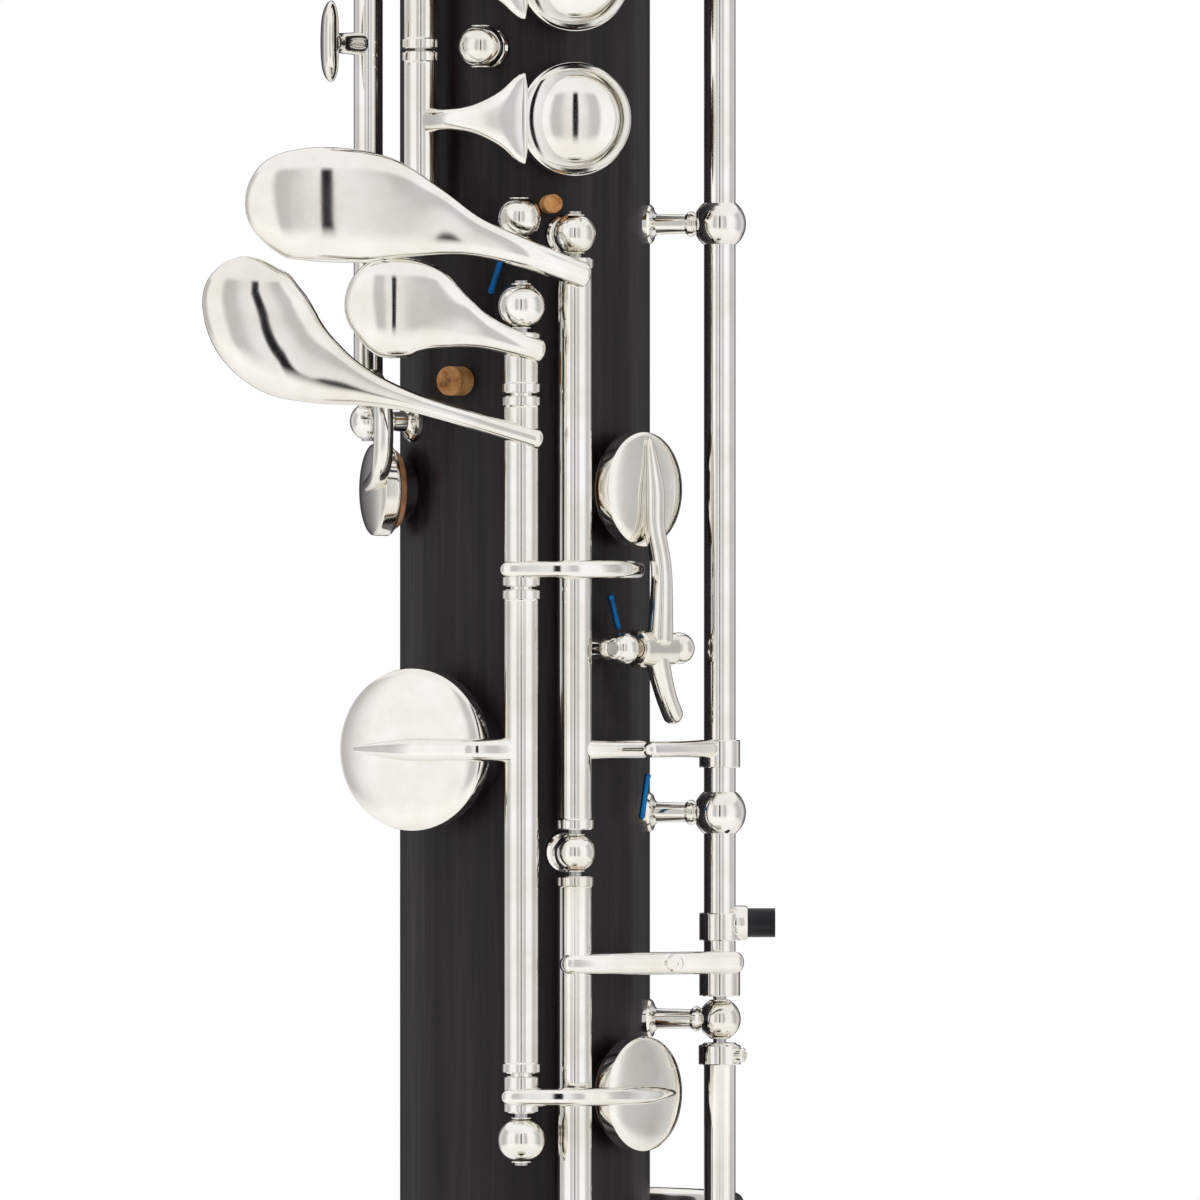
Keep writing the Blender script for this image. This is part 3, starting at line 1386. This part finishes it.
@dataclass
class Studio:
    """A pale floor, soft studio light and the camera."""

    frame_mm: float = 182.4
    aim_x_mm: float = 11.4
    aim_z_mm: float = 560.0
    lens_mm: float = 400.0
    clip_m: float = 60.0
    floor_radius: float = 2.5
    floor_drop_mm: float = 0.5
    # Half turns round from the front, and how bright the studio's wall is there, alike on both sides.
    wall: tuple[tuple[float, float], ...] = (
        (0.0, 0.005), (0.015, 0.005), (0.02, 0.9), (0.06, 0.82), (0.1, 0.6), (0.15, 0.58), (0.19, 0.98),
        (0.36, 0.98), (0.45, 0.62), (0.56, 0.5), (0.66, 0.75), (0.78, 0.25), (0.88, 0.06), (1.0, 0.03))
    wall_strength: float = 1.05
    ceiling: float = 0.92
    softboxes: tuple[Softbox, ...] = (Softbox("key softbox", (-1.6, -1.6, 1.9), 1.2, 26.0),
                                      Softbox("fill softbox", (1.9, -0.9, 1.1), 1.0, 10.0))
    light_aim: tuple[float, float, float] = (0.0, 0.0, 0.6)

    def camera(self) -> None:
        """Places the camera straight in front of the lower joint's little finger keys."""
        data = bpy.data.cameras.new("camera")
        data.lens = self.lens_mm
        data.clip_end = self.clip_m
        camera = bpy.data.objects.new("camera", data)
        bpy.context.scene.collection.objects.link(camera)
        away = self.frame_mm * MM * self.lens_mm / data.sensor_width
        camera.location = (self.aim_x_mm * MM, -away, self.aim_z_mm * MM)
        camera.rotation_euler = (math.pi / 2, 0, 0)
        bpy.context.scene.camera = camera

    def floor(self) -> None:
        """Lays the pale floor under the instrument."""
        sides = 96
        ring = [(self.floor_radius * math.cos(math.tau * i / sides),
                 self.floor_radius * math.sin(math.tau * i / sides), 0.0) for i in range(sides)]
        mesh = bpy.data.meshes.new("floor")
        mesh.from_pydata(ring, [], [tuple(range(sides))])
        floor = bpy.data.objects.new("floor", mesh)
        floor.location.z = -self.floor_drop_mm * MM
        mesh.materials.append(Finishes.PAPER.value.material())
        bpy.context.scene.collection.objects.link(floor)

    def light(self) -> None:
        """Puts the studio round the instrument, with the dark gap that the camera stands in."""
        world = bpy.data.worlds.new("studio")
        bpy.context.scene.world = world
        world.use_nodes = True
        tree = world.node_tree
        tree.nodes.clear()
        place = add_node(tree, "TexCoord")
        parts = add_node(tree, "SeparateXYZ", links={0: (place, "Generated")})
        forward = add_node(tree, "Math", {"operation": "MULTIPLY", 1: -1.0}, {0: (parts, "Y")})
        around = add_node(tree, "Math", {"operation": "ARCTAN2"}, {0: (parts, "X"), 1: (forward, "Value")})
        turn = add_node(tree, "Math", {"operation": "ABSOLUTE"}, {0: (around, "Value")})
        share = add_node(tree, "Math", {"operation": "DIVIDE", 1: math.pi}, {0: (turn, "Value")})
        panels = ramp(tree, share, "Value", [(at, grey(value)) for at, value in self.wall])
        rise = add_node(tree, "Math", {"operation": "ABSOLUTE"}, {0: (parts, "Z")})
        gap = add_node(tree, "MapRange", {"From Min": 0.5, "From Max": 0.6}, {"Value": (rise, "Value")})
        dome = add_node(tree, "Mix", {"data_type": "RGBA", 7: grey(self.ceiling)},
                        {0: (gap, "Result"), 6: (panels, "Color")})
        studio = add_node(tree, "Background", {"Strength": self.wall_strength}, {"Color": (dome, 2)})
        plain = add_node(tree, "Background", {"Color": grey(1.0), "Strength": 1.0})
        ray = add_node(tree, "LightPath")
        shown = add_node(tree, "MixShader", links={0: (ray, "Is Camera Ray"), 1: (studio, "Background"),
                                                   2: (plain, "Background")})
        add_node(tree, "OutputWorld", links={"Surface": (shown, "Shader")})
        for box in self.softboxes:
            self.hang(box)
        bpy.context.scene.view_settings.view_transform = "Standard"
        bpy.context.scene.view_settings.look = "None"

    def hang(self, box: Softbox) -> None:
        """Hangs one softbox, turned to the instrument.

        Args:
            box: The softbox.
        """
        lamp = bpy.data.lights.new(box.name, "AREA")
        lamp.shape = "SQUARE"
        lamp.size = box.side
        lamp.energy = box.power
        made = bpy.data.objects.new(box.name, lamp)
        made.location = box.at
        made.rotation_mode = "QUATERNION"
        made.rotation_quaternion = (Vector(box.at) - Vector(self.light_aim)).to_track_quat("Z", "Y")
        made.visible_camera = False
        made.visible_glossy = False
        bpy.context.scene.collection.objects.link(made)

    def build(self) -> None:
        """Builds the studio, camera first."""
        self.camera()
        self.floor()
        self.light()


def main() -> None:
    """Builds the studio and every sub-assembly in order."""
    logging.basicConfig(level=logging.INFO, format="%(name)s: %(message)s")
    Studio().build()
    LittleFingerKeys().build()
    FingerKeys().build()
    Posts().build()
    for name, cup in CUPS.items():
        Pad(name, cup).build()
    CadNodes().dress()


if __name__ == "__main__":
    main()
